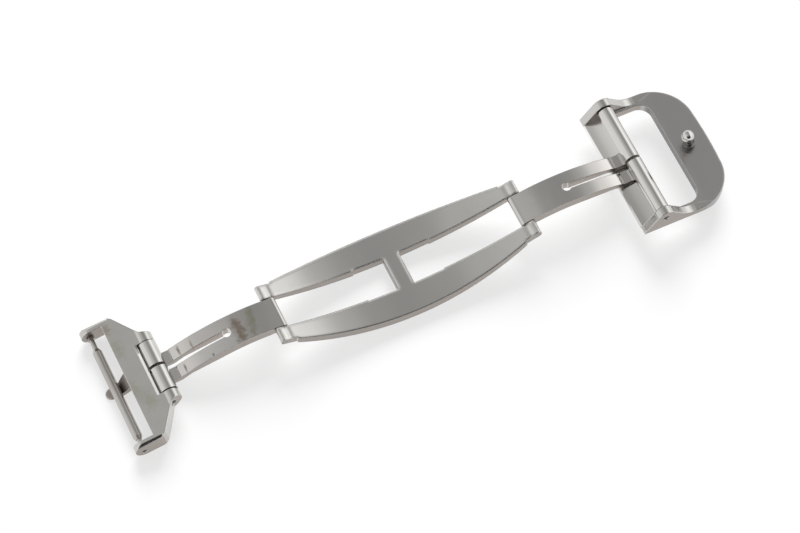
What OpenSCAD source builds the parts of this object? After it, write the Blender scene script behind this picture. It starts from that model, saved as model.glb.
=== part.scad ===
// Double fold deployant clasp for an 18 mm watch strap, laid open as in use on the bench.
// X runs along the clasp from the strap link (left) to the buckle frame (right),
// Y across it, Z up. The wrist side faces up. The origin lies under the middle of the
// open clasp, on the plane through its lowest point.

/* [Centre frame] */
// Distance between the two hinge axes of the centre frame
hinge_span = 38.5; // [36:0.1:42]
// Width of the centre frame across its middle
frame_mid_w = 14.0; // [12.5:0.1:16]
// Width of the centre frame across its hinge ends
frame_end_w = 9.5; // [9.2:0.1:10.5]
// Thickness of the centre frame in the middle
frame_t = 1.5; // [1.3:0.05:1.6]
// Thickness of the centre frame at its hinge axes, measured upright
frame_end_t = 1.25; // [1.15:0.05:1.5]
// Distance that the centre frame runs on beyond its hinge axes
frame_end_reach = 1.4; // [1.2:0.1:1.8]
// Radius of the corners at the ends of the centre frame, seen from the side
frame_end_r = 0.45; // [0.3:0.05:0.5]
// Radius of the two pins of the centre frame
frame_pin_r = 0.4; // [0.35:0.01:0.42]
// Depth of the ends of those pins below the sides of the centre frame
frame_pin_recess = 0.02; // [0.01:0.01:0.1]
// Radius of the wrist side of the centre frame, seen from the side
frame_arc_r = 59; // [54:0.5:66]
// Width of the bar that joins the two side bars
crossbar_w = 2.5; // [2:0.1:3.2]
// Depth of the shallow relief cut in the window walls beside the cross bar
relief_d = 0.15; // [0.05:0.05:0.3]
// Length of that relief
relief_len = 4.8; // [3:0.2:7]
// Distance of the step in width from the hinge axes, towards the middle
frame_step_len = 1.0; // [0.8:0.1:1.5]
// Height of the top of the cross bar above the plane through the lowest point of the clasp
frame_lift = 1.95; // [1.9:0.05:2.4]

/* [Blades] */
// Distance between the two hinge axes of a blade
blade_span = 18.7; // [17.8:0.1:19]
// Width of a blade
blade_w = 4.8; // [4.2:0.1:5.2]
// Thickness of a blade
blade_t = 1.65; // [1.4:0.05:1.7]
// Thickness of the end of a blade that lies over the cross bar of the buckle frame
blade_end_t = 0.95; // [0.8:0.05:1.05]
// Length of that thinner end, from the knuckle axis
blade_end_len = 4.2; // [4:0.1:5]
// Length of the slope below a blade that leads to its thinner end
blade_slope_len = 5.5; // [3:0.5:7]
// Radius of the upper side of a blade, seen from the side
blade_arc_r = 26; // [25:0.5:30]
// Rise of the upper side of a blade above the line between its hinge axes
blade_rise = 1.32; // [1.22:0.02:1.42]
// Distance of the highest point of a blade from its knuckle axis
blade_crest = 12.85; // [12.4:0.05:13.4]
// Radius of the round end of a blade at the centre frame
blade_eye_r = 0.66; // [0.62:0.01:0.75]
// Width of the slot that parts a blade into two spring prongs
slot_w = 0.9; // [0.7:0.05:1.1]
// Radius of the round end of that slot
keyhole_r = 0.66; // [0.6:0.02:0.9]
// Distance of the round end from the knuckle axis
keyhole_dist = 10.9; // [9.5:0.1:12]
// Length of the thin tab at the end of each prong, from the knuckle axis
tab_len = 2.5; // [2.2:0.1:3]
// Height of the top of the tab below the knuckle axis
tab_top_drop = 0.95; // [0.85:0.05:1]
// Angle of the left blade below level
left_blade_drop = 4.3; // [3.8:0.1:4.8]
// Angle of the right blade above level
right_blade_rise = 2.6; // [2.1:0.1:3.1]

/* [Knuckle tubes and pins] */
// Outer radius of the short knuckle tubes on the left blade
left_knuckle_r = 1.4; // [1.3:0.01:1.42]
// Outer radius of the long knuckle tubes on the right blade
right_knuckle_r = 1.2; // [1.1:0.01:1.25]
// Length of each of the two short knuckle tubes on the left blade
left_knuckle_len = 3.84; // [3.4:0.02:4.1]
// Length of each of the two long knuckle tubes on the right blade
right_knuckle_len = 8.82; // [8.4:0.01:8.9]
// Gap between the two tubes of a pair
knuckle_gap = 0.45; // [0.3:0.05:0.5]
// Radius of the two knuckle pins
pin_r = 0.5; // [0.4:0.02:0.55]
// Running clearance of a hinge pin on the radius
pin_play = 0.03; // [0.02:0.01:0.06]
// Side play of a blade between the ears that hold it, each side
side_play = 0.15; // [0.1:0.05:0.25]
// Depth of the ends of the knuckle pins below the outer faces of their ears
pin_recess = 0.15; // [0.1:0.05:0.3]

/* [Strap link] */
// Width between the arms of the strap link
link_gap_w = 18.7; // [18.2:0.1:19]
// Thickness of the arms and side walls of the strap link
link_wall = 0.85; // [0.75:0.05:1.1]
// Extra half width of the strap link at the tips of its arms
link_flare = 0.05; // [0:0.05:0.3]
// Height of the top of the strap link above its hinge axis
link_top = 1.17; // [1.1:0.01:1.25]
// Thickness of the plate of the strap link
link_plate_t = 1.0; // [0.8:0.05:1.2]
// Depth of the arms of the strap link
link_depth = 3.1; // [2.8:0.1:3.2]
// Distance of the far edge of the plate from the link hinge
link_plate_end = 4.65; // [4.3:0.05:5]
// Distance of the wide corners of the plate from the link hinge
link_corner = 3.8; // [3.5:0.1:4]
// Distance of the spring bar axis from the link hinge
bar_dist = 6.75; // [6.5:0.05:7.2]
// Depth of the spring bar axis below the top of the plate
bar_depth = 1.95; // [1.85:0.05:2.1]
// Width of each hinge ear of the strap link
link_ear_w = 1.65; // [1.4:0.05:1.8]
// Radius of the round top of those ears
link_ear_r = 1.35; // [1.25:0.01:1.4]
// Clear gap between the knuckle tubes and the notch in the plate
notch_gap = 0.25; // [0.2:0.05:0.5]
// Chamfer along the upper outer edge of each arm
arm_chamfer = 0.35; // [0.2:0.05:0.45]
// Distance of the centre of each round arm tip from the link hinge
arm_reach = 6.45; // [6.3:0.05:6.9]
// Distance that the strap link has slid along its pin towards the near side
link_shift = 0.02; // [0:0.02:0.1]

/* [Tongue of the strap link] */
// Width of the tongue at its root
tongue_root_w = 2.5; // [2.1:0.1:3]
// Width of the tongue at its neck
tongue_neck_w = 1.5; // [1.2:0.1:1.7]
// Thickness of the tongue
tongue_t = 0.5; // [0.4:0.05:0.6]
// Radius of the round knob at the end of the tongue
knob_r = 0.88; // [0.8:0.01:0.95]
// Thickness of that knob
knob_t = 0.4; // [0.35:0.05:0.5]
// Distance of the middle of that knob beyond the spring bar axis
knob_reach = 0.75; // [0.6:0.05:1]
// Gap between the spring bar and the tongue below it
tongue_gap = 0.06; // [0.05:0.01:0.15]
// Distance of the tongue from the middle of the link
tongue_offset = 0.4; // [0:0.1:0.6]

/* [Spring bar] */
// Outer radius of the spring bar tube
bar_r = 0.7; // [0.65:0.01:0.75]
// Wall of the spring bar tube
bar_wall = 0.2; // [0.17:0.01:0.22]
// Length of the spring bar tube
bar_tube_len = 15.4; // [14.8:0.1:15.6]
// Distance that the tube sits towards the near arm
bar_shift = 0.5; // [0:0.05:0.55]
// Length of the tapered end of the tube
bar_taper = 0.45; // [0.3:0.05:0.6]
// Radius of the stem of a plunger
stem_r = 0.38; // [0.34:0.01:0.42]
// Radius of the tip of a plunger
tip_r = 0.36; // [0.3:0.01:0.4]
// Length of the tip of a plunger
tip_len = 0.7; // [0.6:0.05:0.8]
// Radius of the collar of a plunger
collar_r = 0.6; // [0.5:0.01:0.65]
// Width of the collar of a plunger
collar_w = 0.25; // [0.2:0.05:0.35]
// Gap between the collar and the arm
collar_gap = 0.15; // [0.1:0.01:0.2]
// Length of the head of a plunger inside the tube
head_len = 0.8; // [0.6:0.1:1.2]
// Sliding clearance of the plungers on the radius
slide_play = 0.03; // [0.02:0.01:0.05]
// Inward travel of the far plunger
far_travel = 0.9; // [0.8:0.05:1.1]
// Inward travel of the near plunger
near_travel = 0.5; // [0.4:0.02:0.5]
// Wire diameter of the spring inside the tube
wire_d = 0.16; // [0.12:0.01:0.2]
// Number of turns of that spring
spring_turns = 14; // [10:1:16]

/* [Buckle frame] */
// Width between the cheeks of the buckle frame
cheek_gap_w = 18.5; // [18.4:0.05:19]
// Thickness of the cheeks and side rails
cheek_t = 1.25; // [1.1:0.05:1.5]
// Angle of the buckle frame below level
buckle_tilt = 1.9; // [1:0.1:4]
// Thickness of the plate of the buckle frame
buckle_t = 1.4; // [1.2:0.05:1.6]
// Depth of the top of that plate below the buckle hinge axis
buckle_drop = 1.5; // [1.45:0.05:1.7]
// Distance of the outer rim from the buckle hinge axis
rim_dist = 12.4; // [12:0.1:13]
// Radius of the outer corners of the buckle frame
rim_corner_r = 6.2; // [5.6:0.1:6.6]
// Bulge of the outer rim between its corners
rim_bulge = 0.15; // [0.05:0.05:0.4]
// Distance of the outer edge of the window from the buckle hinge axis
window_end = 6.9; // [6.6:0.05:7.2]
// Radius of the outer corners of the window
window_corner_r = 2.0; // [1.5:0.1:2.5]
// Extra width of the side rails beside the window
rail_extra = 0.35; // [0.2:0.05:0.5]
// Height of the top of the cheeks above the buckle hinge axis
cheek_top = 1.52; // [1.35:0.01:1.6]
// Radius of the round top of the cheeks
cheek_top_r = 1.6; // [1.4:0.05:1.8]
// Angle at which the cheeks fall to the side rails
cheek_slope = 44; // [40:1:50]
// Radius of the hollow that leads from the cheeks to the side rails
rail_hollow_r = 3.6; // [3:0.1:4.2]
// Height of the side rails above the plate
rail_rise = 0.04; // [0.04:0.02:0.2]
// Reach of the feet of the cheeks behind the buckle hinge axis
foot_reach = 3.25; // [3.15:0.05:3.5]
// Depth of the underside of the feet below the buckle hinge axis
foot_depth = 3.0; // [2.8:0.05:3.2]
// Radius of the round foot of each cheek
foot_r = 0.65; // [0.5:0.05:0.8]
// Chamfer along the lower outer edge
lower_chamfer = 0.45; // [0.2:0.05:0.6]

/* [Cross bar of the buckle frame] */
// Width of the cross bar that joins the feet of the cheeks
foot_bar_w = 2.9; // [2.6:0.05:2.95]
// Depth of its inner upper edge below the buckle hinge axis
foot_bar_inner = 1.36; // [1.3:0.01:1.5]
// Depth of its outer upper edge below the buckle hinge axis
foot_bar_outer = 2.05; // [1.95:0.05:2.15]
// Depth of the hollow along its upper side
foot_bar_hollow = 0.1; // [0.05:0.05:0.2]
// Gap between that cross bar and the blade above it
notch_clearance = 0.15; // [0.1:0.01:0.2]

/* [Ball post] */
// Distance of the foot of the ball post from the buckle hinge axis
post_dist = 9.3; // [9:0.05:9.6]
// Distance of the post from the middle of the plate, towards the near side
post_offset = 0.3; // [0:0.05:0.5]
// Angle by which the post leans towards the hinge
post_lean = 12.5; // [10:0.5:15]
// Distance of the ball centre from the plate, along the post
post_h = 3.0; // [2.8:0.05:3.3]
// Radius of the ball
ball_r = 0.95; // [0.85:0.01:1]
// Radius of the neck below the ball
neck_r = 0.4; // [0.35:0.01:0.43]
// Radius of the collar at the foot of the post
post_collar_r = 0.9; // [0.75:0.01:0.95]
// Height of that collar
post_collar_h = 1.0; // [0.8:0.05:1.2]
// Radius of the shank that is riveted through the plate
shank_r = 0.5; // [0.45:0.01:0.6]

/* [Hidden] */
$fn = 96;
eps = 0.01;
// Radial gap of pieces that are pressed or brazed together
seat = 0.005;
// Depth at which a straight side starts inside the round that it joins
sink = 0.03;

// Window of the centre frame, from the blade and its side play
window_w = blade_w + 2 * side_play;
hinge_x = hinge_span / 2;
crest_x = blade_span - blade_crest;

// Side profile of the centre frame: both sides are arcs, the lower one from the thickness
// in the middle to the thickness at the hinge axes
function arc_fall(r, x) = r - sqrt(r * r - x * x);
frame_end_x = hinge_x + frame_end_reach;
hinge_z = frame_lift + arc_fall(frame_arc_r, hinge_x) - frame_end_t / 2;
frame_low_rise = frame_t + arc_fall(frame_arc_r, hinge_x) - frame_end_t;
frame_low_r = (pow(hinge_x, 2) + pow(frame_low_rise, 2)) / (2 * frame_low_rise);

// Plan radius of the side bars, through the wide middle and the narrow ends
side_sag = (frame_mid_w - frame_end_w) / 2;
side_plan_r = (pow(hinge_x, 2) + pow(side_sag, 2)) / (2 * side_sag);

// Knuckle axes in the open pose
link_x = -hinge_x - blade_span * cos(left_blade_drop);
link_z = hinge_z - blade_span * sin(left_blade_drop);
buckle_x = hinge_x + blade_span * cos(right_blade_rise);
buckle_z = hinge_z + blade_span * sin(right_blade_rise);

// Half widths
link_in = link_gap_w / 2;
link_out = link_in + link_wall;
link_ear_in = left_knuckle_len + knuckle_gap / 2 + side_play;
link_ear_out = link_ear_in + link_ear_w;
cheek_in = cheek_gap_w / 2;
cheek_out = cheek_in + cheek_t;

pin_hole_r = pin_r + pin_play;
frame_pin_hole_r = frame_pin_r + pin_play;
bar_w = link_top - bar_depth;
link_low = link_top - link_depth;
buckle_low = -buckle_drop - buckle_t;

// The lower edge of the knob is the lowest point of the open clasp and lies on the plane,
// which gives the angle of the strap link below level.
knob_edge = 0.15;
tongue_low = bar_w - bar_r - tongue_gap - knob_t;
knob_far = bar_dist + knob_reach + knob_r - knob_edge;
link_drop = asin(link_z / sqrt(pow(knob_far, 2) + pow(tongue_low, 2))) - atan2(-tongue_low, knob_far);

// Side outline of a cheek: a round top, a slope that leaves it, and a hollow between the
// slope and the level top of the rail
rail_top = rail_rise - buckle_drop;
cheek_top_z = cheek_top - cheek_top_r;
slope_x = (cheek_top_r - sink) * sin(cheek_slope);
slope_z = cheek_top_z + (cheek_top_r - sink) * cos(cheek_slope);
slope_end_x = slope_x + (slope_z - rail_top) / tan(cheek_slope);
hollow_len = rail_hollow_r * tan(cheek_slope / 2);
// The back of a cheek runs from its round top to its round foot
foot_x = foot_r - foot_reach;
foot_z = foot_r - foot_depth;
back_way = atan2(foot_z - cheek_top_z, foot_x)
    - acos((cheek_top_r - foot_r) / norm([foot_x, foot_z - cheek_top_z]));

// The origin lies under the middle of the space that the open clasp takes. Its left end is
// the tip of an arm or the knob, its right end the upper edge of the rim.
arm_tip_r = link_depth / 2;
knob_top = tongue_low + knob_t - knob_edge;
left_end = link_x - max(
    arm_reach * cos(link_drop) + (link_top - arm_tip_r) * sin(link_drop) + arm_tip_r,
    (bar_dist + knob_reach + knob_r) * cos(link_drop) + knob_top * sin(link_drop));
right_end = buckle_x + rim_dist * cos(buckle_tilt) - buckle_drop * sin(buckle_tilt);
middle_x = (left_end + right_end) / 2;

// Spring bar, along its own axis from the middle
bar_half = bar_tube_len / 2;
bar_bore_r = bar_r - bar_wall;
throat_r = stem_r + slide_play;
head_r = bar_bore_r - slide_play;
throat_len = 0.6;
stop_gap = 0.1;
head_out = bar_half - bar_shift - throat_len - stop_gap;
collar_out = link_in - collar_gap;
collar_in = collar_out - collar_w;
// The inner spring ends short of the plungers when they are pushed in
coil_far = head_out - head_len - far_travel - stop_gap;
coil_near = -(head_out - head_len - near_travel - stop_gap);
coil_half = (coil_far - coil_near) / 2;
coil_r = bar_bore_r - slide_play - wire_d / 2;

// Places a piece drawn with its length along X and its height along Y as a profile,
// so that the profile lies in the XZ plane and runs w wide across the clasp.
module across(w, y0 = 0) {
    translate([0, y0 + w / 2, 0]) rotate([90, 0, 0]) linear_extrude(w) children();
}

// Round bar along Y between two places.
module rod(r, y0, y1) {
    translate([0, y0, 0]) rotate([-90, 0, 0]) cylinder(r = r, h = y1 - y0);
}

// Cone along Y between two places.
module taper(r0, r1, y0, y1) {
    translate([0, y0, 0]) rotate([-90, 0, 0]) cylinder(r1 = r0, r2 = r1, h = y1 - y0);
}

// Knuckle pin with slightly domed ends.
module hinge_pin(half) {
    dome = 0.12;
    rod(pin_r, -half + dome, half - dome);
    taper(pin_r, pin_r - dome, half - dome, half);
    taper(pin_r - dome, pin_r, -half, -half + dome);
}

// Moves a piece from the middle of the centre frame to the middle of the clasp.
module place() {
    translate([-middle_x, 0, 0]) children();
}

// Puts a piece drawn about its hinge at the open pose.
module at_left_hinge() {
    translate([-hinge_x, 0, hinge_z]) rotate([0, -left_blade_drop, 0]) mirror([1, 0, 0]) children();
}
module at_right_hinge() {
    translate([hinge_x, 0, hinge_z]) rotate([0, -right_blade_rise, 0]) children();
}
module at_link() {
    translate([link_x, -link_shift, link_z]) rotate([0, -link_drop, 0]) mirror([1, 0, 0]) children();
}
module at_buckle() {
    translate([buckle_x, 0, buckle_z]) rotate([0, buckle_tilt, 0]) children();
}

// Plan outline of the centre frame with its stepped ends.
module frame_plan() {
    step_x = hinge_x - frame_step_len;
    intersection() {
        translate([0, frame_mid_w / 2 - side_plan_r]) circle(side_plan_r, $fn = 360);
        translate([0, side_plan_r - frame_mid_w / 2]) circle(side_plan_r, $fn = 360);
        square([2 * step_x, frame_mid_w], center = true);
    }
    square([2 * frame_end_x, frame_end_w], center = true);
}

// Side profile of the centre frame, with the corners of its ends rounded.
module frame_side() {
    flat_x = frame_end_x - frame_end_r;
    corner_drop = frame_end_r / cos(asin(flat_x / frame_arc_r));
    high = frame_lift + arc_fall(frame_arc_r, flat_x) - corner_drop;
    low = frame_lift - frame_t + arc_fall(frame_low_r, flat_x) + corner_drop;
    intersection() {
        difference() {
            translate([0, frame_lift - frame_t + frame_low_r]) circle(frame_low_r, $fn = 360);
            translate([0, frame_lift + frame_arc_r]) circle(frame_arc_r, $fn = 360);
        }
        translate([-flat_x, 0]) square([2 * flat_x, frame_arc_r / 2]);
    }
    for (s = [-1, 1]) {
        translate([s * flat_x, high]) circle(frame_end_r);
        translate([s * flat_x, low]) circle(frame_end_r);
        translate([s * flat_x, (high + low) / 2]) square([2 * frame_end_r, high - low], center = true);
    }
}

module centre_frame() {
    mid = crossbar_w / 2;
    color([0.72, 0.71, 0.69]) difference() {
        intersection() {
            across(frame_mid_w + 1) frame_side();
            linear_extrude(frame_arc_r / 2) frame_plan();
        }
        // The two windows, open at the ends between the ears
        for (s = [-1, 1]) translate([s * (mid + frame_end_x), 0, hinge_z])
            cube([2 * frame_end_x, window_w, 6 * hinge_z], center = true);
        // Shallow reliefs beside the cross bar
        for (s = [-1, 1]) translate([s * (mid + relief_len / 2), 0, hinge_z])
            cube([relief_len, window_w + 2 * relief_d, 6 * hinge_z], center = true);
        for (s = [-1, 1]) translate([s * hinge_x, 0, hinge_z])
            rod(frame_pin_r + seat, -frame_end_w, frame_end_w);
    }
}

module frame_pin(s) {
    half = frame_end_w / 2 - frame_pin_recess;
    color([0.55, 0.54, 0.52]) translate([s * hinge_x, 0, hinge_z]) rod(frame_pin_r, -half, half);
}

// Side outline of a blade, with the frame hinge at the origin and the knuckle axis on +X.
module blade_side() {
    step_x = blade_span - tab_len;
    end_x = blade_span - blade_end_len;
    slope_x = end_x - blade_slope_len;
    difference() {
        intersection() {
            translate([crest_x, blade_rise - blade_arc_r]) circle(blade_arc_r, $fn = 360);
            translate([0, -blade_span / 2]) square([step_x, blade_span]);
        }
        // Hollow lower side, level beside the round end and thinned towards the knuckles
        translate([crest_x, blade_rise - blade_arc_r]) circle(blade_arc_r - blade_t, $fn = 360);
        translate([-1, sink - blade_eye_r - blade_span]) square([crest_x, blade_span]);
        polygon([[slope_x, blade_low(blade_t, slope_x) - sink], [end_x, blade_low(blade_end_t, end_x)],
            [step_x + 1, blade_low(blade_end_t, step_x + 1)], [step_x + 1, -blade_span],
            [slope_x, -blade_span]]);
    }
    circle(blade_eye_r);
}

// Height of the lower side of a blade where it is t thick.
function blade_low(t, x) = blade_rise - blade_arc_r
    + sqrt(pow(blade_arc_r - t, 2) - pow(x - crest_x, 2));

// Space that the knuckle end of a blade takes, with the clearance below it.
module blade_room() {
    step_x = blade_span - tab_len;
    start_x = blade_span - foot_reach - 2;
    polygon(concat(
        [for (a = [0:0.125:1]) let (x = start_x + (step_x - start_x) * a)
            [x, blade_low(blade_end_t, x) - notch_clearance]],
        [[blade_span + 1, blade_low(blade_end_t, step_x) - notch_clearance], [blade_span + 1, 0],
         [start_x, 0]]));
}

// A blade whose knuckle tubes have the outer radius r.
module blade(r) {
    step_x = blade_span - tab_len;
    low = blade_low(blade_end_t, step_x);
    color([0.78, 0.76, 0.74]) difference() {
        union() {
            across(blade_w) blade_side();
            across(blade_w) polygon([[step_x - 1, blade_low(blade_end_t, step_x - 1)], [step_x, low],
                [blade_span + 0.2, low], [blade_span + 0.7, low + 0.35],
                [blade_span + 0.7, -tab_top_drop], [step_x - 1, -tab_top_drop]]);
        }
        rod(frame_pin_hole_r, -blade_w, blade_w);
        // The slot with its round end, cut right through
        translate([blade_span - keyhole_dist, 0, -blade_span / 2]) cylinder(r = keyhole_r, h = blade_span);
        translate([blade_span - keyhole_dist, -slot_w / 2, -blade_span / 2])
            cube([2 * keyhole_dist, slot_w, blade_span]);
        // Seat of the knuckle tubes
        translate([blade_span, 0, 0]) rod(r + seat, -blade_w, blade_w);
    }
}

// One knuckle tube of radius r, on the side given by s.
module knuckle(r, len, s) {
    color([0.75, 0.74, 0.72]) translate([blade_span, 0, 0]) difference() {
        rod(r, min(s * knuckle_gap / 2, s * (knuckle_gap / 2 + len)),
            max(s * knuckle_gap / 2, s * (knuckle_gap / 2 + len)));
        rod(pin_hole_r, -2 * len, 2 * len);
    }
}

// Plan outline of the strap link, seen from above with the hinge at the origin.
module link_plan(inset = 0) {
    corner_r = 0.9;
    neck_x = 0.2;
    neck = link_ear_out - inset;
    wide = link_out - inset;
    half = [[-link_ear_r - 1, neck - 0.5], [-0.8, neck - 0.3], [neck_x, neck],
        [link_corner - corner_r, wide - corner_r * 0.55],
        [link_corner - corner_r * 0.45, wide - corner_r * 0.12], [link_corner, wide],
        [bar_dist + 3, wide + link_flare]];
    polygon(concat(half, [for (i = [len(half) - 1:-1:0]) [half[i][0], -half[i][1]]]));
}

// Side outline of the walls of the strap link: round ear, deep wall and full round arm tip.
module link_side() {
    circle(link_ear_r);
    polygon([[0, link_top], [0, -link_ear_r], [0.4, -1.5], [2.0, link_low],
        [arm_reach, link_low], [arm_reach, link_top]]);
    translate([arm_reach, link_top - arm_tip_r]) circle(arm_tip_r);
}

module strap_link() {
    notch_x = left_knuckle_r + notch_gap;
    color([0.62, 0.61, 0.59]) at_link() difference() {
        intersection() {
            across(2 * link_out + 4) link_side();
            translate([0, 0, link_low - 1]) linear_extrude(link_depth + 3) link_plan();
        }
        // Hollow below the plate, between the side walls
        intersection() {
            translate([notch_x, -link_in, link_low - 2])
                cube([4 * bar_dist, link_gap_w, link_depth + 2 - link_plate_t]);
            translate([0, 0, link_low - 2]) linear_extrude(link_depth + 4) link_plan(link_wall);
        }
        // Open space between the arms beyond the plate
        translate([link_plate_end, -link_in, link_low - 2]) cube([4 * bar_dist, link_gap_w, 3 * link_depth]);
        // Upper outer edge of each arm
        for (s = [-1, 1]) translate([link_corner + 2 * bar_dist - arm_chamfer, s * link_out, link_top])
            rotate([45, 0, 0])
                cube([4 * bar_dist, arm_chamfer * sqrt(2), arm_chamfer * sqrt(2)], center = true);
        // Notch for the knuckle tubes
        translate([-4, -link_ear_in, link_low - 2]) cube([4 + notch_x, 2 * link_ear_in, 3 * link_depth]);
        rod(pin_r + seat, -2 * link_out, 2 * link_out);
        translate([bar_dist, 0, bar_w]) rod(tip_r + slide_play, -2 * link_out, 2 * link_out);
    }
}

module link_pin() {
    color([0.55, 0.54, 0.52]) at_link() hinge_pin(link_ear_out - pin_recess);
}

// Tongue below the plate, running under the spring bar to a round knob.
module link_tongue() {
    plate_low = link_top - link_plate_t;
    root_x = link_plate_end - 1.6;
    knob_x = bar_dist + knob_reach;
    low = tongue_low + knob_t - tongue_t;
    high = tongue_low + knob_t;
    color([0.45, 0.44, 0.43]) at_link() translate([0, tongue_offset, 0]) {
        intersection() {
            across(tongue_root_w) polygon([[root_x, plate_low], [link_plate_end, plate_low],
                [bar_dist - 0.5, high], [knob_x, high], [knob_x, low + eps],
                [bar_dist - 0.8, low + eps], [link_plate_end - 0.7, plate_low - tongue_t],
                [root_x, plate_low - tongue_t]]);
            translate([0, 0, link_low - 3]) linear_extrude(link_depth + 3) polygon([
                [root_x, -tongue_root_w / 2], [link_plate_end, -tongue_root_w / 2],
                [bar_dist, -tongue_neck_w / 2], [knob_x, -tongue_neck_w / 2],
                [knob_x, tongue_neck_w / 2], [bar_dist, tongue_neck_w / 2],
                [link_plate_end, tongue_root_w / 2], [root_x, tongue_root_w / 2]]);
        }
        translate([knob_x, 0, tongue_low]) rotate_extrude() polygon([[0, 0],
            [knob_r - knob_edge, 0], [knob_r, knob_edge], [knob_r, knob_t - knob_edge],
            [knob_r - knob_edge, knob_t], [0, knob_t]]);
    }
}

// Everything of the spring bar is drawn about its own axis.
module at_bar() {
    at_link() translate([bar_dist, 0, bar_w]) children();
}

module spring_bar_tube() {
    color([0.6, 0.59, 0.57]) at_bar() translate([0, -bar_shift, 0]) difference() {
        union() {
            rod(bar_r, -bar_half + bar_taper, bar_half - bar_taper);
            taper(bar_r, bar_r - 0.2, bar_half - bar_taper, bar_half);
            taper(bar_r - 0.2, bar_r, -bar_half, -bar_half + bar_taper);
        }
        rod(bar_bore_r, -bar_half + throat_len, bar_half - throat_len);
        rod(throat_r, -2 * bar_half, 2 * bar_half);
    }
}

// One plunger, on the side given by s.
module plunger(s) {
    color([0.66, 0.65, 0.63]) at_bar() mirror([0, s < 0 ? 1 : 0, 0]) {
        rod(head_r, head_out - head_len, head_out);
        rod(stem_r, head_out - eps, collar_in + eps);
        rod(collar_r, collar_in, collar_out);
        rod(tip_r, collar_out - eps, link_in + tip_len - 0.15);
        taper(tip_r, tip_r - 0.12, link_in + tip_len - 0.15 - eps, link_in + tip_len);
    }
}

// Wire of the inner spring: one unbroken tube round a helix.
module spring_bar_spring() {
    sides = 6;
    per_turn = 8;
    n = spring_turns * per_turn;
    function at(i) = [coil_r * cos(360 * i / per_turn), coil_near + wire_d / 2
        + (2 * coil_half - wire_d) * i / n, coil_r * sin(360 * i / per_turn)];
    function ring(i, j) = let (c = at(i), a = 360 * i / per_turn, b = 360 * j / sides)
        [c[0] + wire_d / 2 * cos(b) * cos(a), c[1] + wire_d / 2 * sin(b),
         c[2] + wire_d / 2 * cos(b) * sin(a)];
    points = [for (i = [0:n]) for (j = [0:sides - 1]) ring(i, j)];
    faces = concat(
        [for (j = [1:sides - 2]) [0, j, j + 1]],
        [for (i = [0:n - 1]) for (j = [0:sides - 1]) let (k = (j + 1) % sides)
            [i * sides + j, (i + 1) * sides + j, (i + 1) * sides + k]],
        [for (i = [0:n - 1]) for (j = [0:sides - 1]) let (k = (j + 1) % sides)
            [i * sides + j, (i + 1) * sides + k, i * sides + k]],
        [for (j = [1:sides - 2]) [n * sides, n * sides + j + 1, n * sides + j]]);
    color([0.5, 0.5, 0.5]) at_bar() polyhedron(points, faces);
}

// Plan outline of the buckle frame.
module buckle_plan() {
    half = cheek_out;
    r = rim_corner_r;
    flat = rim_dist - rim_bulge;
    translate([-foot_reach - 1, -half]) square([foot_reach + 1 + flat - r, 2 * half]);
    translate([flat - r - eps, -half + r]) square([r + eps, 2 * (half - r)]);
    for (s = [-1, 1]) translate([flat - r, s * (half - r)]) circle(r);
    // Bulge of the rim, an arc through both corners
    bulge_half = half - r;
    bulge_r = (pow(bulge_half, 2) + pow(rim_bulge, 2)) / (2 * rim_bulge);
    intersection() {
        translate([rim_dist - bulge_r, 0]) circle(bulge_r, $fn = 360);
        translate([flat - r, -bulge_half]) square([2 * r, 2 * bulge_half]);
    }
}

// Window of the buckle frame.
module buckle_window() {
    half = cheek_in - rail_extra;
    r = window_corner_r;
    x0 = -foot_reach + foot_bar_w + 0.05;
    translate([x0, -half]) square([window_end - r - x0, 2 * half]);
    translate([window_end - r - eps, -half + r]) square([r + eps, 2 * (half - r)]);
    for (s = [-1, 1]) translate([window_end - r, s * (half - r)]) circle(r);
}

// Side outline of a cheek and its rail.
module cheek_side() {
    back = [cos(back_way), sin(back_way)];
    translate([0, cheek_top_z]) circle(cheek_top_r);
    translate([foot_x, foot_z]) circle(foot_r);
    difference() {
        polygon([[foot_x, sink - foot_depth], [3.4, buckle_low], [rim_dist, buckle_low],
            [rim_dist, -buckle_drop], [window_end + 3, -buckle_drop], [window_end + 1.5, rail_top],
            [slope_end_x + hollow_len, rail_top],
            [slope_end_x - hollow_len * cos(cheek_slope), rail_top + hollow_len * sin(cheek_slope)],
            [slope_x, slope_z], [0, cheek_top_z], [0, cheek_top_z] + (cheek_top_r - sink) * back,
            [foot_x, foot_z] + (foot_r - sink) * back, [foot_x, foot_z]]);
        translate([slope_end_x + hollow_len, rail_top + rail_hollow_r + eps])
            circle(rail_hollow_r, $fn = 360);
    }
}

// Plan of the space above the plate, between the cheeks and the rails, which run out to
// nothing beside the plate.
module buckle_well() {
    run0 = window_end - 2.6;
    run1 = window_end + 2.1;
    for (s = [-1, 1]) mirror([0, s < 0 ? 1 : 0]) polygon(concat(
        [[-foot_reach - 2, -1], [-foot_reach - 2, cheek_in]],
        [for (a = [0:0.125:1]) [run0 + (run1 - run0) * a, cheek_in + (cheek_t + eps) * a * a]],
        [[rim_dist + 2, cheek_out + 1], [rim_dist + 2, -1]]));
}

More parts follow.
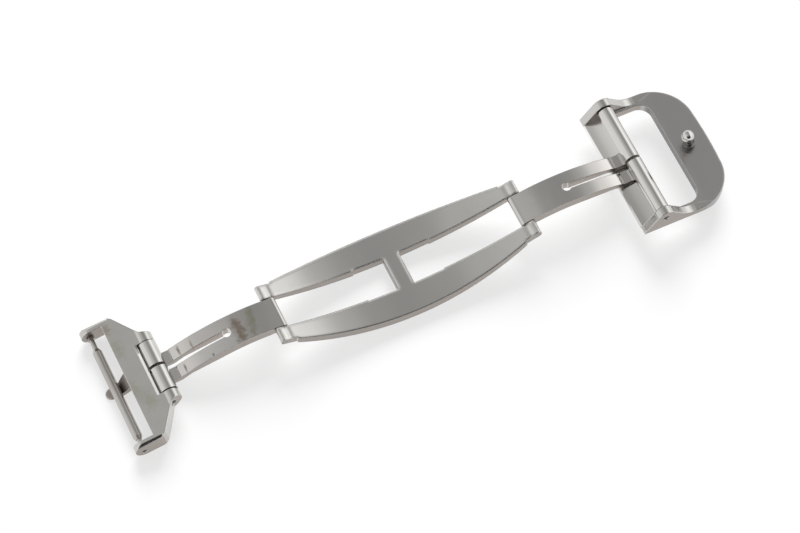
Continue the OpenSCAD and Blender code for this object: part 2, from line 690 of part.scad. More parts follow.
module buckle_frame() {
    color([0.5, 0.49, 0.48]) at_buckle() difference() {
        intersection() {
            across(2 * cheek_out) cheek_side();
            translate([0, 0, buckle_low - 1]) linear_extrude(10) buckle_plan();
        }
        // Window, right through
        translate([0, 0, -10]) linear_extrude(20) buckle_window();
        // Everything above the plate, between the cheeks and rails
        translate([0, 0, -buckle_drop]) linear_extrude(10) buckle_well();
        // Room for the cross bar between the feet
        translate([-foot_reach - 2, -cheek_in, buckle_low - 1])
            cube([foot_bar_w + 2.05, cheek_gap_w, buckle_t + 2]);
        // Lower outer edge
        for (s = [-1, 1]) translate([0, s * cheek_out, buckle_low]) rotate([45, 0, 0])
            cube([4 * rim_dist, lower_chamfer * sqrt(2), lower_chamfer * sqrt(2)], center = true);
        rod(pin_r + seat, -2 * cheek_out, 2 * cheek_out);
        translate([post_dist, -post_offset, -buckle_drop]) rotate([0, -post_lean, 0])
            translate([0, 0, -5]) cylinder(r = shank_r + seat, h = 10);
    }
}

// Cross bar between the feet, hollowed along its upper side and notched for the blade.
module buckle_cross_bar() {
    x0 = -foot_reach;
    x1 = x0 + foot_bar_w;
    low = -foot_depth;
    outer = -foot_bar_outer;
    inner = -foot_bar_inner;
    lip = 0.15;
    slope = atan2(inner - outer, foot_bar_w - lip);
    half = norm([foot_bar_w - lip, inner - outer]) / 2;
    hollow_r = (pow(half, 2) + pow(foot_bar_hollow, 2)) / (2 * foot_bar_hollow);
    color([0.58, 0.57, 0.55]) at_buckle() difference() {
        across(cheek_gap_w - 2 * seat) difference() {
            polygon([[x0, low + 0.35], [x0 + 0.35, low], [x1 - 0.2, low], [x1, low + 0.2],
                [x1, inner], [x0 + lip, outer], [x0, outer - lip]]);
            translate([(x0 + lip + x1) / 2, (outer + inner) / 2]) rotate(slope)
                translate([0, hollow_r - foot_bar_hollow]) circle(hollow_r, $fn = 180);
        }
        // Notch under the blade, at the angle that the blade has in the open pose
        rotate([0, -right_blade_rise - buckle_tilt, 0]) translate([-blade_span, 0, 0])
            across(blade_w + 4 * side_play) blade_room();
    }
}

module buckle_pin() {
    color([0.55, 0.54, 0.52]) at_buckle() hinge_pin(cheek_out - pin_recess);
}

// Turned post: riveted shank, collar, waisted neck and ball, leaning towards the hinge.
module ball_post() {
    color([0.7, 0.69, 0.67]) at_buckle() translate([post_dist, -post_offset, -buckle_drop]) {
        // The shank fills its hole and ends flush with the lower side of the plate
        intersection() {
            rotate([0, -post_lean, 0]) translate([0, 0, -3]) cylinder(r = shank_r, h = 3 + eps);
            translate([-5, -5, -buckle_t]) cube([10, 10, buckle_t + 1]);
        }
        // The collar seats on the plate
        intersection() {
            rotate([0, -post_lean, 0]) translate([0, 0, -1])
                cylinder(r = post_collar_r, h = post_collar_h + 1);
            translate([-5, -5, 0]) cube([10, 10, 5]);
        }
        rotate([0, -post_lean, 0]) {
            translate([0, 0, post_collar_h - eps]) cylinder(r = neck_r, h = post_h - post_collar_h);
            translate([0, 0, post_h]) sphere(ball_r);
        }
    }
}

place() centre_frame();
place() frame_pin(-1);  // left_frame_pin
place() frame_pin(1);  // right_frame_pin
place() at_left_hinge() blade(left_knuckle_r);  // left_blade
place() at_right_hinge() blade(right_knuckle_r);  // right_blade
place() at_left_hinge() knuckle(left_knuckle_r, left_knuckle_len, -1);  // left_knuckle_near
place() at_left_hinge() knuckle(left_knuckle_r, left_knuckle_len, 1);  // left_knuckle_far
place() at_right_hinge() knuckle(right_knuckle_r, right_knuckle_len, -1);  // right_knuckle_near
place() at_right_hinge() knuckle(right_knuckle_r, right_knuckle_len, 1);  // right_knuckle_far
place() strap_link();
place() link_pin();
place() link_tongue();
place() spring_bar_tube();
place() spring_bar_spring();
place() plunger(-1);  // spring_bar_plunger_near
place() plunger(1);  // spring_bar_plunger_far
place() buckle_frame();
place() buckle_cross_bar();
place() buckle_pin();
place() ball_post();
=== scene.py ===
import math

import bpy
from mathutils import Matrix, Vector


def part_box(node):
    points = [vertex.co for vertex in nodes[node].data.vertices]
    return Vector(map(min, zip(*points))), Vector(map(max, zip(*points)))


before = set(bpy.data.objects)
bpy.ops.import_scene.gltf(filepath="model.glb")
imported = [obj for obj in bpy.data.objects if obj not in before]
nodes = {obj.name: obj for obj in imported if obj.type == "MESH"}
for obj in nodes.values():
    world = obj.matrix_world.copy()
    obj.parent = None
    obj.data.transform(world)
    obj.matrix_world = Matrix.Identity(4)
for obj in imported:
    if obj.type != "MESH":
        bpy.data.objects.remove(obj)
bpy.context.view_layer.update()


# Centre frame: one pressed and polished steel bow with two windows. Its four ends are thinned
# and hold the hinge pins. The finish that every steel piece shares is built here: hairlines
# from the polishing wheel, finger haze, painted shade on the side walls and edges rubbed bright.
def shader_group(name, inputs, outputs):
    group = bpy.data.node_groups.new(name, "ShaderNodeTree")
    for label, kind, value in inputs:
        socket = group.interface.new_socket(name=label, in_out="INPUT", socket_type=kind)
        socket.default_value = value
    for label, kind in outputs:
        group.interface.new_socket(name=label, in_out="OUTPUT", socket_type=kind)
    return group, group.nodes.new("NodeGroupInput"), group.nodes.new("NodeGroupOutput")


def put(tree, kind, **values):
    node = tree.nodes.new(kind)
    for key, value in values.items():
        setattr(node, key, value)
    return node


def wire(tree, *pairs):
    for start, end in pairs:
        tree.links.new(start, end)


def build_polishing():
    """Hairlines and slow waviness left by the polishing wheel, as a height and a mask."""
    group, entry, leave = shader_group(
        "polishing_marks",
        [("Stretch", "NodeSocketVector", (1.0, 1.0, 1.0)), ("Fineness", "NodeSocketFloat", 3000.0)],
        [("Height", "NodeSocketFloat"), ("Lines", "NodeSocketFloat")])
    place = put(group, "ShaderNodeTexCoord")
    stretch = put(group, "ShaderNodeVectorMath", operation="MULTIPLY")
    lines = put(group, "ShaderNodeTexNoise")
    lines.inputs["Detail"].default_value = 6
    lines.inputs["Roughness"].default_value = 0.65
    waves = put(group, "ShaderNodeTexNoise")
    waves.inputs["Scale"].default_value = 220
    waves.inputs["Detail"].default_value = 1
    deep = put(group, "ShaderNodeMapRange")
    deep.inputs["From Min"].default_value = 0.56
    deep.inputs["From Max"].default_value = 0.74
    line_share = 0.35
    add = put(group, "ShaderNodeMath", operation="MULTIPLY_ADD")
    add.inputs[1].default_value = line_share
    wire(group,
         (place.outputs["Object"], stretch.inputs[0]),
         (entry.outputs["Stretch"], stretch.inputs[1]),
         (stretch.outputs["Vector"], lines.inputs["Vector"]),
         (entry.outputs["Fineness"], lines.inputs["Scale"]),
         (place.outputs["Object"], waves.inputs["Vector"]),
         (lines.outputs["Fac"], deep.inputs["Value"]),
         (lines.outputs["Fac"], add.inputs[0]),
         (waves.outputs["Fac"], add.inputs[2]),
         (add.outputs["Value"], leave.inputs["Height"]),
         (deep.outputs["Result"], leave.inputs["Lines"]))
    return group


def build_haze():
    """Cloudy film from handling, as a mask."""
    group, entry, leave = shader_group(
        "finger_haze",
        [("Size", "NodeSocketFloat", 180.0), ("Cover", "NodeSocketFloat", 0.5)],
        [("Mask", "NodeSocketFloat")])
    place = put(group, "ShaderNodeTexCoord")
    cloud = put(group, "ShaderNodeTexNoise")
    cloud.inputs["Detail"].default_value = 5
    cloud.inputs["Distortion"].default_value = 0.6
    fully_covered, thickest = 1.0, 0.85
    low = put(group, "ShaderNodeMath", operation="SUBTRACT")
    low.inputs[0].default_value = fully_covered
    shape = put(group, "ShaderNodeMapRange")
    shape.inputs["From Max"].default_value = thickest
    wire(group,
         (place.outputs["Object"], cloud.inputs["Vector"]),
         (entry.outputs["Size"], cloud.inputs["Scale"]),
         (entry.outputs["Cover"], low.inputs[1]),
         (cloud.outputs["Fac"], shape.inputs["Value"]),
         (low.outputs["Value"], shape.inputs["From Min"]),
         (shape.outputs["Result"], leave.inputs["Mask"]))
    return group


def build_edge_wear():
    """Mask that is 1 where a corner is rubbed and 0 on the flats."""
    group, entry, leave = shader_group(
        "rubbed_edges", [("Reach", "NodeSocketFloat", 0.00012)], [("Mask", "NodeSocketFloat")])
    round_off = put(group, "ShaderNodeBevel", samples=4)
    true = put(group, "ShaderNodeNewGeometry")
    dot = put(group, "ShaderNodeVectorMath", operation="DOT_PRODUCT")
    flat_match, corner_match = 0.995, 0.85
    shape = put(group, "ShaderNodeMapRange")
    shape.inputs["From Min"].default_value = flat_match
    shape.inputs["From Max"].default_value = corner_match
    wire(group,
         (entry.outputs["Reach"], round_off.inputs["Radius"]),
         (round_off.outputs["Normal"], dot.inputs[0]),
         (true.outputs["Normal"], dot.inputs[1]),
         (dot.outputs["Value"], shape.inputs["Value"]),
         (shape.outputs["Result"], leave.inputs["Mask"]))
    return group


def build_side_walls():
    """Mask that is 1 on the sides of a piece, polished less than its top and painted with shade."""
    group, entry, leave = shader_group(
        "side_walls", [("Soft", "NodeSocketFloat", 0.25)], [("Mask", "NodeSocketFloat")])
    surface = put(group, "ShaderNodeNewGeometry")
    parts = put(group, "ShaderNodeSeparateXYZ")
    size = put(group, "ShaderNodeMath", operation="ABSOLUTE")
    upright = 0.95
    start = put(group, "ShaderNodeMath", operation="SUBTRACT")
    start.inputs[0].default_value = upright
    shape = put(group, "ShaderNodeMapRange", interpolation_type="SMOOTHSTEP")
    shape.inputs["From Max"].default_value = upright
    wire(group,
         (surface.outputs["Normal"], parts.inputs["Vector"]),
         (parts.outputs["Y"], size.inputs[0]),
         (entry.outputs["Soft"], start.inputs[1]),
         (size.outputs["Value"], shape.inputs["Value"]),
         (start.outputs["Value"], shape.inputs["From Min"]),
         (shape.outputs["Result"], leave.inputs["Mask"]))
    return group


def build_share():
    """Mask that rises from 0 to 1 along the piece, between two shares of its own box."""
    group, entry, leave = shader_group(
        "share_of_piece",
        [("Along", "NodeSocketVector", (1.0, 0.0, 0.0)), ("Low", "NodeSocketFloat", 0.4),
         ("High", "NodeSocketFloat", 0.6)],
        [("Mask", "NodeSocketFloat")])
    place = put(group, "ShaderNodeTexCoord")
    dot = put(group, "ShaderNodeVectorMath", operation="DOT_PRODUCT")
    shape = put(group, "ShaderNodeMapRange", interpolation_type="SMOOTHSTEP")
    wire(group,
         (place.outputs["Generated"], dot.inputs[0]),
         (entry.outputs["Along"], dot.inputs[1]),
         (dot.outputs["Value"], shape.inputs["Value"]),
         (entry.outputs["Low"], shape.inputs["From Min"]),
         (entry.outputs["High"], shape.inputs["From Max"]),
         (shape.outputs["Result"], leave.inputs["Mask"]))
    return group


def build_end_walls():
    """Mask of the walls that face the strap link, beyond two shares of the piece, for painted
    shade.
    """
    group, entry, leave = shader_group(
        "end_walls", [("Low", "NodeSocketFloat", 0.2), ("High", "NodeSocketFloat", 0.25)],
        [("Mask", "NodeSocketFloat")])
    place = put(group, "ShaderNodeTexCoord")
    along = put(group, "ShaderNodeSeparateXYZ")
    beyond = put(group, "ShaderNodeMapRange", interpolation_type="SMOOTHSTEP")
    surface = put(group, "ShaderNodeNewGeometry")
    towards_link = put(group, "ShaderNodeVectorMath", operation="DOT_PRODUCT")
    towards_link.inputs[1].default_value = (-1, 0, 0)
    leaning, upright = 0.6, 0.9
    steep = put(group, "ShaderNodeMapRange")
    steep.inputs["From Min"].default_value = leaning
    steep.inputs["From Max"].default_value = upright
    wall_shade = put(group, "ShaderNodeMath", operation="MULTIPLY")
    wire(group,
         (place.outputs["Generated"], along.inputs["Vector"]),
         (along.outputs["X"], beyond.inputs["Value"]),
         (entry.outputs["Low"], beyond.inputs["From Min"]),
         (entry.outputs["High"], beyond.inputs["From Max"]),
         (surface.outputs["Normal"], towards_link.inputs[0]),
         (towards_link.outputs["Value"], steep.inputs["Value"]),
         (beyond.outputs["Result"], wall_shade.inputs[0]),
         (steep.outputs["Result"], wall_shade.inputs[1]),
         (wall_shade.outputs["Value"], leave.inputs["Mask"]))
    return group


polishing = build_polishing()
haze = build_haze()
edge_wear = build_edge_wear()
side_walls = build_side_walls()
share_of_piece = build_share()
end_walls = build_end_walls()


def use(tree, group, **values):
    """Places a shader group in a material with its own values."""
    node = put(tree, "ShaderNodeGroup", node_tree=group)
    for key, value in values.items():
        node.inputs[key].default_value = value
    return node


def blend_colour(tree, mask, one, two):
    """Mixes colour one into colour two by a mask. Each is a socket or a colour."""
    mix = put(tree, "ShaderNodeMix", data_type="RGBA")
    wire(tree, (mask, mix.inputs["Factor"]))
    for socket, colour in ((mix.inputs[6], one), (mix.inputs[7], two)):
        if isinstance(colour, tuple):
            socket.default_value = (*colour, 1)
        else:
            wire(tree, (colour, socket))
    return mix.outputs[2]


def blend_gloss(tree, mask, one, two):
    """Mixes roughness one into the plain roughness two by a mask."""
    mix = put(tree, "ShaderNodeMix")
    mix.inputs["B"].default_value = two
    wire(tree, (mask, mix.inputs["Factor"]), (one, mix.inputs["A"]))
    return mix.outputs["Result"]


def steel(name, tone, worn, film, rough=(0.10, 0.20), stretch=(1, 12, 12), fineness=900.0,
          stain_and_painted_light=None, wall_shade=None, dull=None, round_over=0.0):
    """Polished steel: tone on the flats, worn on the edges, film where it was handled,
    painted shade on the sides, lapped to a satin where dull says so. Hairlines are drawn out by
    stretch, and edges look rolled over by round_over metres."""
    line_shade, line_depth, line_strength = 0.93, 0.000001, 0.35
    wall_rough, satin_rough = 0.34, 0.36
    material = bpy.data.materials.new(name)
    material.use_nodes = True
    tree = material.node_tree
    shader = tree.nodes["Principled BSDF"]
    shader.inputs["Metallic"].default_value = 1.0
    marks = use(tree, polishing, Stretch=stretch, Fineness=fineness)
    cloud = use(tree, haze, Size=160.0, Cover=0.55)
    edges = use(tree, edge_wear, Reach=0.00012)
    colour = blend_colour(tree, cloud.outputs["Mask"], tone, film)
    lined = tuple(c * line_shade for c in tone)
    colour = blend_colour(tree, marks.outputs["Lines"], colour, lined)
    gloss = put(tree, "ShaderNodeMapRange")
    gloss.inputs["To Min"].default_value, gloss.inputs["To Max"].default_value = rough
    gloss_value = gloss.outputs["Result"]
    # The side walls get painted shade in place of the tone.
    if wall_shade:
        sides = use(tree, side_walls)
        colour = blend_colour(tree, sides.outputs["Mask"], colour, wall_shade)
        gloss_value = blend_gloss(tree, sides.outputs["Mask"], gloss_value, wall_rough)
    if dull:
        gloss_value = blend_gloss(tree, dull(tree), gloss_value, satin_rough)
    # This step lays water marks, painted shade and painted light over the colour.
    if stain_and_painted_light:
        colour = stain_and_painted_light(tree, colour)
    colour = blend_colour(tree, edges.outputs["Mask"], colour, worn)
    bump = put(tree, "ShaderNodeBump")
    bump.inputs["Strength"].default_value = line_strength
    bump.inputs["Distance"].default_value = line_depth
    wire(tree,
         (colour, shader.inputs["Base Color"]),
         (cloud.outputs["Mask"], gloss.inputs["Value"]),
         (gloss_value, shader.inputs["Roughness"]),
         (marks.outputs["Height"], bump.inputs["Height"]),
         (bump.outputs["Normal"], shader.inputs["Normal"]))
    if round_over:
        rolled = put(tree, "ShaderNodeBevel", samples=8)
        rolled.inputs["Radius"].default_value = round_over
        wire(tree, (rolled.outputs["Normal"], bump.inputs["Normal"]))
    return material


def finish_node(name, material, edge):
    """Gives a CAD piece its material and breaks its sharp edges, as a polisher does, by
    edge metres."""
    piece = nodes[name]
    piece.data.materials.clear()
    piece.data.materials.append(material)
    if edge:
        broken = piece.modifiers.new("broken_edges", "BEVEL")
        broken.width = edge
        broken.segments = 2
        broken.limit_method = "ANGLE"
        broken.angle_limit = math.radians(35)
        broken.harden_normals = True


# Painted shade for the side walls that face along Y.
WALL_SHADE_BROWN = (0.40, 0.36, 0.33)
# Darker painted shade for walls that face the strap link.
WALL_SHADE_DARK = (0.21, 0.20, 0.195)


def shaded_cross_bar_walls(tree, colour):
    """Paints shade on the walls of the cross bar between the windows."""
    shaded_walls = use(tree, end_walls, Low=0.20, High=0.25)
    return blend_colour(tree, shaded_walls.outputs["Mask"], colour, WALL_SHADE_DARK)


frame_steel = steel("frame_steel", tone=(0.64, 0.63, 0.61), worn=(0.70, 0.69, 0.67),
                    film=(0.60, 0.59, 0.57), stain_and_painted_light=shaded_cross_bar_walls, wall_shade=WALL_SHADE_BROWN,
                    round_over=0.0008)
finish_node("centre_frame", frame_steel, edge=0)
bow_low, bow_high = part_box("centre_frame")
bow_x = (bow_low[0] + bow_high[0]) / 2


# Hinge pins of the centre frame: turned steel, pressed through the four thinned ends and
# polished off almost flush with them.
def turned_steel(name, tone, end_shade=None):
    """Steel with turning lines round the axle, brighter where rubbed. Its end faces take a painted
    shade colour.
    """
    rubbed, filmed = 1.15, 0.9
    return steel(name, tone, worn=tuple(min(1, c * rubbed) for c in tone),
                 film=tuple(c * filmed for c in tone), stretch=(10, 1, 10), fineness=1500.0,
                 wall_shade=end_shade)


# Their end faces take the same painted shade as the side walls.
frame_pin_steel = turned_steel("frame_pin_steel", (0.58, 0.57, 0.55), end_shade=WALL_SHADE_BROWN)
for pin in ("left_frame_pin", "right_frame_pin"):
    finish_node(pin, frame_pin_steel, edge=0)


# Blades: spring steel strips, arched lengthwise, each slotted from its end to a round
# relief hole so that two prongs are left. The left one carries old brown water marks.
ROUND, ACROSS = (1.0, 0.7, 0.0), (1.0, 0.22, 0.0)
STAIN, FAINT, DARK = (0.34, 0.27, 0.21), (0.44, 0.43, 0.33), (0.16, 0.14, 0.12)
# Each mark: its middle in metres from the middle of the bow, radius, shape, colour.
LEFT_BLADE_MARKS = [
    ((-0.02522, -0.00053), 0.0010, ROUND, STAIN),
    ((-0.02541, -0.00148), 0.0008, ROUND, STAIN),
    ((-0.02541, 0.00079), 0.0008, ROUND, STAIN),
    ((-0.02321, -0.00002), 0.0009, ROUND, FAINT),
    ((-0.02363, -0.00150), 0.0007, ROUND, FAINT),
    ((-0.02284, 0.00146), 0.0008, ROUND, FAINT),
    ((-0.03409, 0.00128), 0.00022, ACROSS, DARK),
    ((-0.03425, -0.00160), 0.00020, ACROSS, DARK),
    ((-0.03215, 0.00105), 0.00022, ACROSS, STAIN),
    ((-0.03009, -0.00206), 0.00020, ROUND, DARK),
]


def build_water_mark():
    """Ragged mark about a point on the top of a piece, as a mask."""
    group, entry, leave = shader_group(
        "water_mark",
        [("Middle", "NodeSocketVector", (0.0, 0.0, 0.0)), ("Radius", "NodeSocketFloat", 0.001),
         ("Shape", "NodeSocketVector", ROUND)],
        [("Mask", "NodeSocketFloat")])
    place = put(group, "ShaderNodeTexCoord")
    noise_middle, raggedness, fades_from, fades_to = (0.5, 0.5, 0.5), 2.4, 1.25, 0.1
    rag = put(group, "ShaderNodeTexNoise")
    rag.inputs["Scale"].default_value = 1300
    rag.inputs["Detail"].default_value = 4
    centre_rag = put(group, "ShaderNodeVectorMath", operation="SUBTRACT")
    centre_rag.inputs[1].default_value = noise_middle
    reach = put(group, "ShaderNodeMath", operation="MULTIPLY")
    reach.inputs[1].default_value = raggedness
    push = put(group, "ShaderNodeVectorMath", operation="SCALE")
    moved = put(group, "ShaderNodeVectorMath", operation="ADD")
    gap = put(group, "ShaderNodeVectorMath", operation="SUBTRACT")
    shaped = put(group, "ShaderNodeVectorMath", operation="MULTIPLY")
    away = put(group, "ShaderNodeVectorMath", operation="LENGTH")
    ratio = put(group, "ShaderNodeMath", operation="DIVIDE")
    edge = put(group, "ShaderNodeMapRange", interpolation_type="SMOOTHSTEP")
    edge.inputs["From Min"].default_value = fades_from
    edge.inputs["From Max"].default_value = fades_to
    wire(group,
         (place.outputs["Object"], rag.inputs["Vector"]),
         (rag.outputs["Color"], centre_rag.inputs[0]),
         (entry.outputs["Radius"], reach.inputs[0]),
         (centre_rag.outputs["Vector"], push.inputs[0]),
         (reach.outputs["Value"], push.inputs["Scale"]),
         (place.outputs["Object"], moved.inputs[0]),
         (push.outputs["Vector"], moved.inputs[1]),
         (moved.outputs["Vector"], gap.inputs[0]),
         (entry.outputs["Middle"], gap.inputs[1]),
         (gap.outputs["Vector"], shaped.inputs[0]),
         (entry.outputs["Shape"], shaped.inputs[1]),
         (shaped.outputs["Vector"], away.inputs[0]),
         (away.outputs["Value"], ratio.inputs[0]),
         (entry.outputs["Radius"], ratio.inputs[1]),
         (ratio.outputs["Value"], edge.inputs["Value"]),
         (edge.outputs["Result"], leave.inputs["Mask"]))
    return group


water_mark = build_water_mark()


def water_marks(places, strength):
    """Gives the step that lays a list of marks over a colour."""
    def apply(tree, colour):
        for (x, y), radius, shape, tint in places:
            mark = use(tree, water_mark, Middle=(bow_x + x, y, 0.0), Radius=radius, Shape=shape)
            weaken = put(tree, "ShaderNodeMath", operation="MULTIPLY")
            weaken.inputs[1].default_value = strength
            wire(tree, (mark.outputs["Mask"], weaken.inputs[0]))
            colour = blend_colour(tree, weaken.outputs["Value"], colour, tint)
        return colour
    return apply


blade_finish = dict(tone=(0.61, 0.59, 0.57), worn=(0.74, 0.72, 0.70), film=(0.56, 0.54, 0.52),
                    wall_shade=WALL_SHADE_BROWN, round_over=0.00015)
left_blade_steel = steel("left_blade_steel", stain_and_painted_light=water_marks(LEFT_BLADE_MARKS, strength=0.85),
                         **blade_finish)
right_blade_steel = steel("right_blade_steel", **blade_finish)
finish_node("left_blade", left_blade_steel, edge=0.00006)
finish_node("right_blade", right_blade_steel, edge=0.00006)


# Knuckle tubes: drawn steel tube, one piece brazed to each prong, so that the pair can
# spread with the prongs. They turn on the pins of the strap link and the buckle frame.
# The tube end faces are painted dark: painted shade of the narrow gaps they face.
tube_steel = turned_steel("tube_steel", (0.64, 0.63, 0.61), end_shade=(0.20, 0.18, 0.17))
for side in ("left", "right"):
    finish_node(f"{side}_knuckle_near", tube_steel, edge=0.00007)
    finish_node(f"{side}_knuckle_far", tube_steel, edge=0.00007)


# Strap link: pressed plate with deep side walls that end in two round-ended arms. The
# plate is dull with rubbing from the strap and lightly marked.
LINK_MARKS = [
    ((-0.04204, 0.00485), 0.0013, ROUND, FAINT),
    ((-0.04221, -0.00199), 0.0012, ROUND, FAINT),
    ((-0.04234, 0.00852), 0.0008, ROUND, STAIN),
    ((-0.04094, -0.00441), 0.0012, ROUND, FAINT),
]
link_steel = steel("link_steel", tone=(0.58, 0.57, 0.545), worn=(0.72, 0.71, 0.69),
                   film=(0.52, 0.51, 0.48), rough=(0.12, 0.24), stretch=(12, 1, 12),
                   stain_and_painted_light=water_marks(LINK_MARKS, strength=0.5), wall_shade=WALL_SHADE_BROWN,
                   round_over=0.0002)
finish_node("strap_link", link_steel, edge=0.00010)


# Hinge pins of the knuckles: turned steel, pressed into the ears of the strap link and the
# cheeks of the buckle frame. Their end faces lie a little deep and are painted near black:
# painted shade in the recess, with some grime.
pin_steel = turned_steel("pin_steel", (0.58, 0.57, 0.55), end_shade=(0.05, 0.045, 0.04))
for pin in ("link_pin", "buckle_pin"):
    finish_node(pin, pin_steel, edge=0)


# Tongue of the strap link: a narrow strip under the plate that runs below the spring bar
# to a round knob. It was never polished and has gone dark.
dark_steel = steel("dark_steel", tone=(0.40, 0.37, 0.35), worn=(0.52, 0.50, 0.47),
                   film=(0.27, 0.24, 0.22), rough=(0.36, 0.52))
finish_node("link_tongue", dark_steel, edge=0.00006)


# Spring bar: drawn tube with a turned plunger at each end and a wound spring inside. The
# tube is grey from the strap, with fine turning lines round it.
bar_steel = steel("bar_steel", tone=(0.50, 0.48, 0.46), worn=(0.62, 0.60, 0.58),
                  film=(0.40, 0.37, 0.34), rough=(0.18, 0.32), stretch=(1, 14, 1),
                  fineness=700.0)
spring_wire = turned_steel("spring_wire", (0.40, 0.39, 0.38))
finish_node("spring_bar_tube", bar_steel, edge=0)
finish_node("spring_bar_spring", spring_wire, edge=0)
for plunger in ("spring_bar_plunger_near", "spring_bar_plunger_far"):
    finish_node(plunger, bar_steel, edge=0)


# Buckle frame: cast and polished steel. Its cheeks hold the hinge pin, its rails run out
# into a broad plate, and a hollowed cross bar joins the feet.
def plate_end(tree):
    """Mask of the plate beyond the rails, which is lapped to a darker satin."""
    return use(tree, share_of_piece, Along=(1, 0, 0), Low=0.58, High=0.72).outputs["Mask"]


def satin_plate_and_wall_shade(tree, colour):
    """Darkens the plate and, more, paints shade on the end face of its window."""
    colour = blend_colour(tree, plate_end(tree), colour, (0.42, 0.405, 0.40))
    shaded_walls = use(tree, end_walls, Low=0.50, High=0.56)
    return blend_colour(tree, shaded_walls.outputs["Mask"], colour, WALL_SHADE_DARK)


def painted_bright_far_half(tree, colour):
    """Painted light: the far half of the cross bar is painted brighter than the near half."""
    far = use(tree, share_of_piece, Along=(0, 1, 0), Low=0.40, High=0.60)
    return blend_colour(tree, far.outputs["Mask"], colour, (0.90, 0.88, 0.85))


buckle_steel = steel("buckle_steel", tone=(0.57, 0.56, 0.54), worn=(0.58, 0.57, 0.55),
                     film=(0.55, 0.54, 0.52), rough=(0.14, 0.22), stain_and_painted_light=satin_plate_and_wall_shade,
                     wall_shade=WALL_SHADE_BROWN, dull=plate_end, round_over=0.0003)
cross_bar_steel = steel("cross_bar_steel", tone=(0.66, 0.64, 0.62), worn=(0.80, 0.78, 0.76),
                        film=(0.62, 0.60, 0.58), rough=(0.18, 0.28), stretch=(12, 1, 12),
                        stain_and_painted_light=painted_bright_far_half)
finish_node("buckle_frame", buckle_steel, edge=0.00010)
finish_node("buckle_cross_bar", cross_bar_steel, edge=0.00006)


# Ball post: turned from bar with a high polish and riveted through the plate. The hole of
# the strap end is pressed over its ball.
def shaded_foot(tree, colour):
    """Paints shade on the neck and collar below the ball."""
    ball = use(tree, share_of_piece, Along=(0, 0, 1), Low=0.56, High=0.66)
    return blend_colour(tree, ball.outputs["Mask"], (0.22, 0.21, 0.20), colour)


post_steel = steel("post_steel", tone=(0.66, 0.65, 0.63), worn=(0.76, 0.75, 0.72),
                   film=(0.60, 0.59, 0.57), stretch=(10, 10, 1), fineness=1500.0,
                   stain_and_painted_light=shaded_foot)
finish_node("ball_post", post_steel, edge=0)


# Floor: seamless white paper sheet, wide enough to fill every view. It shows white to the
# camera and in the steel, and still takes the shadow of the clasp.
def floor_sheet(half):
    paper, white_to_camera, white_in_steel = 0.96, 0.62, 0.68
    mesh = bpy.data.meshes.new("floor")
    mesh.from_pydata([(-half, -half, 0), (half, -half, 0), (half, half, 0), (-half, half, 0)],
                     [], [(0, 1, 2, 3)])
    sheet = bpy.data.objects.new("floor", mesh)
    bpy.context.collection.objects.link(sheet)
    paint = bpy.data.materials.new("floor_paper")
    paint.use_nodes = True
    tree = paint.node_tree
    shader = tree.nodes["Principled BSDF"]
    shader.inputs["Base Color"].default_value = (paper, paper, paper, 1)
    shader.inputs["Roughness"].default_value = 0.9
    shader.inputs["Specular IOR Level"].default_value = 0.0
    white = put(tree, "ShaderNodeEmission")
    path = put(tree, "ShaderNodeLightPath")
    straight = put(tree, "ShaderNodeMath", operation="MAXIMUM")
    direct = put(tree, "ShaderNodeMath", operation="MULTIPLY")
    direct.inputs[1].default_value = white_to_camera
    share = put(tree, "ShaderNodeMath", operation="MULTIPLY_ADD")
    share.inputs[1].default_value = white_in_steel
    mix = put(tree, "ShaderNodeMixShader")
    wire(tree,
         (path.outputs["Is Camera Ray"], straight.inputs[0]),
         (path.outputs["Is Transmission Ray"], straight.inputs[1]),
         (straight.outputs["Value"], direct.inputs[0]),
         (path.outputs["Is Glossy Ray"], share.inputs[0]),
         (direct.outputs["Value"], share.inputs[2]),
         (share.outputs["Value"], mix.inputs[0]),
         (shader.outputs["BSDF"], mix.inputs[1]),
         (white.outputs["Emission"], mix.inputs[2]),
         (mix.outputs["Shader"], tree.nodes["Material Output"].inputs["Surface"]))
    mesh.materials.append(paint)


floor_sheet(half=6.0)


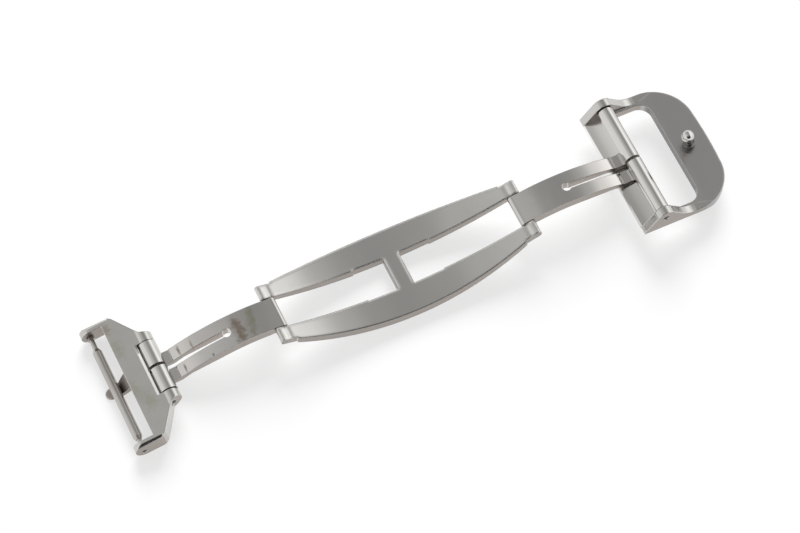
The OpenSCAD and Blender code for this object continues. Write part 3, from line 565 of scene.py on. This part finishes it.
# Light: a white tent round the table. Overhead it is greyer, and it is open towards the
# photographer, where polished steel shows a dark room. A large far lamp behind the right end
# casts the long soft shadow.
def light_tent():
    white, plain, dark_room, warmth = (1.0, 1.0, 1.0), (0.50, 0.50, 0.50), (0.04, 0.04, 0.04), 0.99
    world = bpy.data.worlds.new("tent")
    bpy.context.scene.world = world
    world.use_nodes = True
    tree = world.node_tree
    tree.nodes.clear()
    way = put(tree, "ShaderNodeTexCoord")
    part = put(tree, "ShaderNodeSeparateXYZ")
    wire(tree, (way.outputs["Generated"], part.inputs["Vector"]))

    def rises(axis, low, high):
        slope = put(tree, "ShaderNodeMapRange", interpolation_type="SMOOTHSTEP")
        slope.inputs["From Min"].default_value = low
        slope.inputs["From Max"].default_value = high
        wire(tree, (part.outputs[axis], slope.inputs["Value"]))
        return slope.outputs["Result"]

    def both(one, two):
        product = put(tree, "ShaderNodeMath", operation="MULTIPLY")
        wire(tree, (one, product.inputs[0]), (two, product.inputs[1]))
        return product.outputs["Value"]

    shift = put(tree, "ShaderNodeMath", operation="MULTIPLY_ADD")
    shift.inputs[1].default_value = 0.5
    shift.inputs[2].default_value = 0.5
    across = put(tree, "ShaderNodeValToRGB")
    # Brightness overhead, from the strap link's side (-1) to the buckle's side (1).
    stops = [(-0.75, 0.98), (-0.60, 0.92), (-0.40, 0.68), (-0.11, 0.58), (0.02, 0.44),
             (0.25, 0.385), (0.37, 0.42), (0.49, 0.58), (0.62, 1.05), (0.75, 1.45)]
    across.color_ramp.interpolation = "EASE"
    while len(across.color_ramp.elements) < len(stops):
        across.color_ramp.elements.new(0.5)
    for element, (x, level) in zip(across.color_ramp.elements, stops):
        element.position = (x + 1) / 2
        element.color = (level, level, level * warmth, 1)
    opening_width = both(rises("X", -0.60, -0.45), rises("X", 0.50, 0.35))
    opening_height = both(rises("Z", 0.18, 0.35), rises("Z", 0.95, 0.80))
    opening = both(rises("Y", 0.0, -0.30), both(opening_width, opening_height))
    path = put(tree, "ShaderNodeLightPath")
    straight = put(tree, "ShaderNodeMath", operation="MAXIMUM")
    sky = put(tree, "ShaderNodeBackground")
    out = put(tree, "ShaderNodeOutputWorld")
    tent = blend_colour(tree, rises("Z", 0.15, 0.50), white, across.outputs["Color"])
    tent = blend_colour(tree, opening, tent, dark_room)
    tent = blend_colour(tree, path.outputs["Is Glossy Ray"], plain, tent)
    shown = blend_colour(tree, straight.outputs["Value"], tent, white)
    wire(tree,
         (part.outputs["X"], shift.inputs[0]),
         (shift.outputs["Value"], across.inputs["Fac"]),
         (path.outputs["Is Camera Ray"], straight.inputs[0]),
         (path.outputs["Is Transmission Ray"], straight.inputs[1]),
         (shown, sky.inputs["Color"]),
         (sky.outputs["Background"], out.inputs["Surface"]))


def far_lamp(name, place, spread, power):
    """A large far lamp. Spread is the angle that it fills, in degrees."""
    light = bpy.data.lights.new(name, "SUN")
    light.angle = math.radians(spread)
    light.energy = power
    holder = bpy.data.objects.new(name, light)
    holder.location = place
    holder.rotation_mode = "QUATERNION"
    holder.rotation_quaternion = (-Vector(place)).to_track_quat("-Z", "Y")
    holder.visible_glossy = False
    bpy.context.collection.objects.link(holder)


light_tent()
far_lamp("back_lamp", place=(0.33, 0.72, 0.50), spread=36, power=3.6)


# Camera: a long lens above the near left side, turned as the photograph was. Distance and
# focal length follow from the size of the clasp in the photograph.
def photograph_camera():
    azimuth, elevation, roll = (math.radians(a) for a in (25.976, 62.953, 0.6))
    distance, focal_px, lift = 0.4732, 3271.5, 0.00195
    width_px, height_px, middle_px = 800, 533, (398.588, 270.498)
    back = Vector((-math.sin(azimuth) * math.cos(elevation),
                   -math.cos(azimuth) * math.cos(elevation), math.sin(elevation)))
    level_right = Vector((math.cos(azimuth), -math.sin(azimuth), 0))
    level_up = back.cross(level_right)
    right = math.cos(roll) * level_right + math.sin(roll) * level_up
    up = -math.sin(roll) * level_right + math.cos(roll) * level_up
    off_right = (middle_px[0] - width_px / 2) / focal_px * distance
    off_up = -(middle_px[1] - height_px / 2) / focal_px * distance
    camera = bpy.data.cameras.new("camera")
    camera.sensor_width = 36.0
    camera.lens = focal_px * camera.sensor_width / width_px
    camera.clip_start, camera.clip_end = 0.01, 50
    holder = bpy.data.objects.new("camera", camera)
    bpy.context.collection.objects.link(holder)
    place = Vector((bow_x, 0, lift)) - off_right * right - off_up * up + distance * back
    holder.matrix_world = Matrix((
        (right.x, up.x, back.x, place.x),
        (right.y, up.y, back.y, place.y),
        (right.z, up.z, back.z, place.z),
        (0, 0, 0, 1)))
    bpy.context.scene.camera = holder


photograph_camera()
bpy.context.scene.view_settings.view_transform = "Standard"
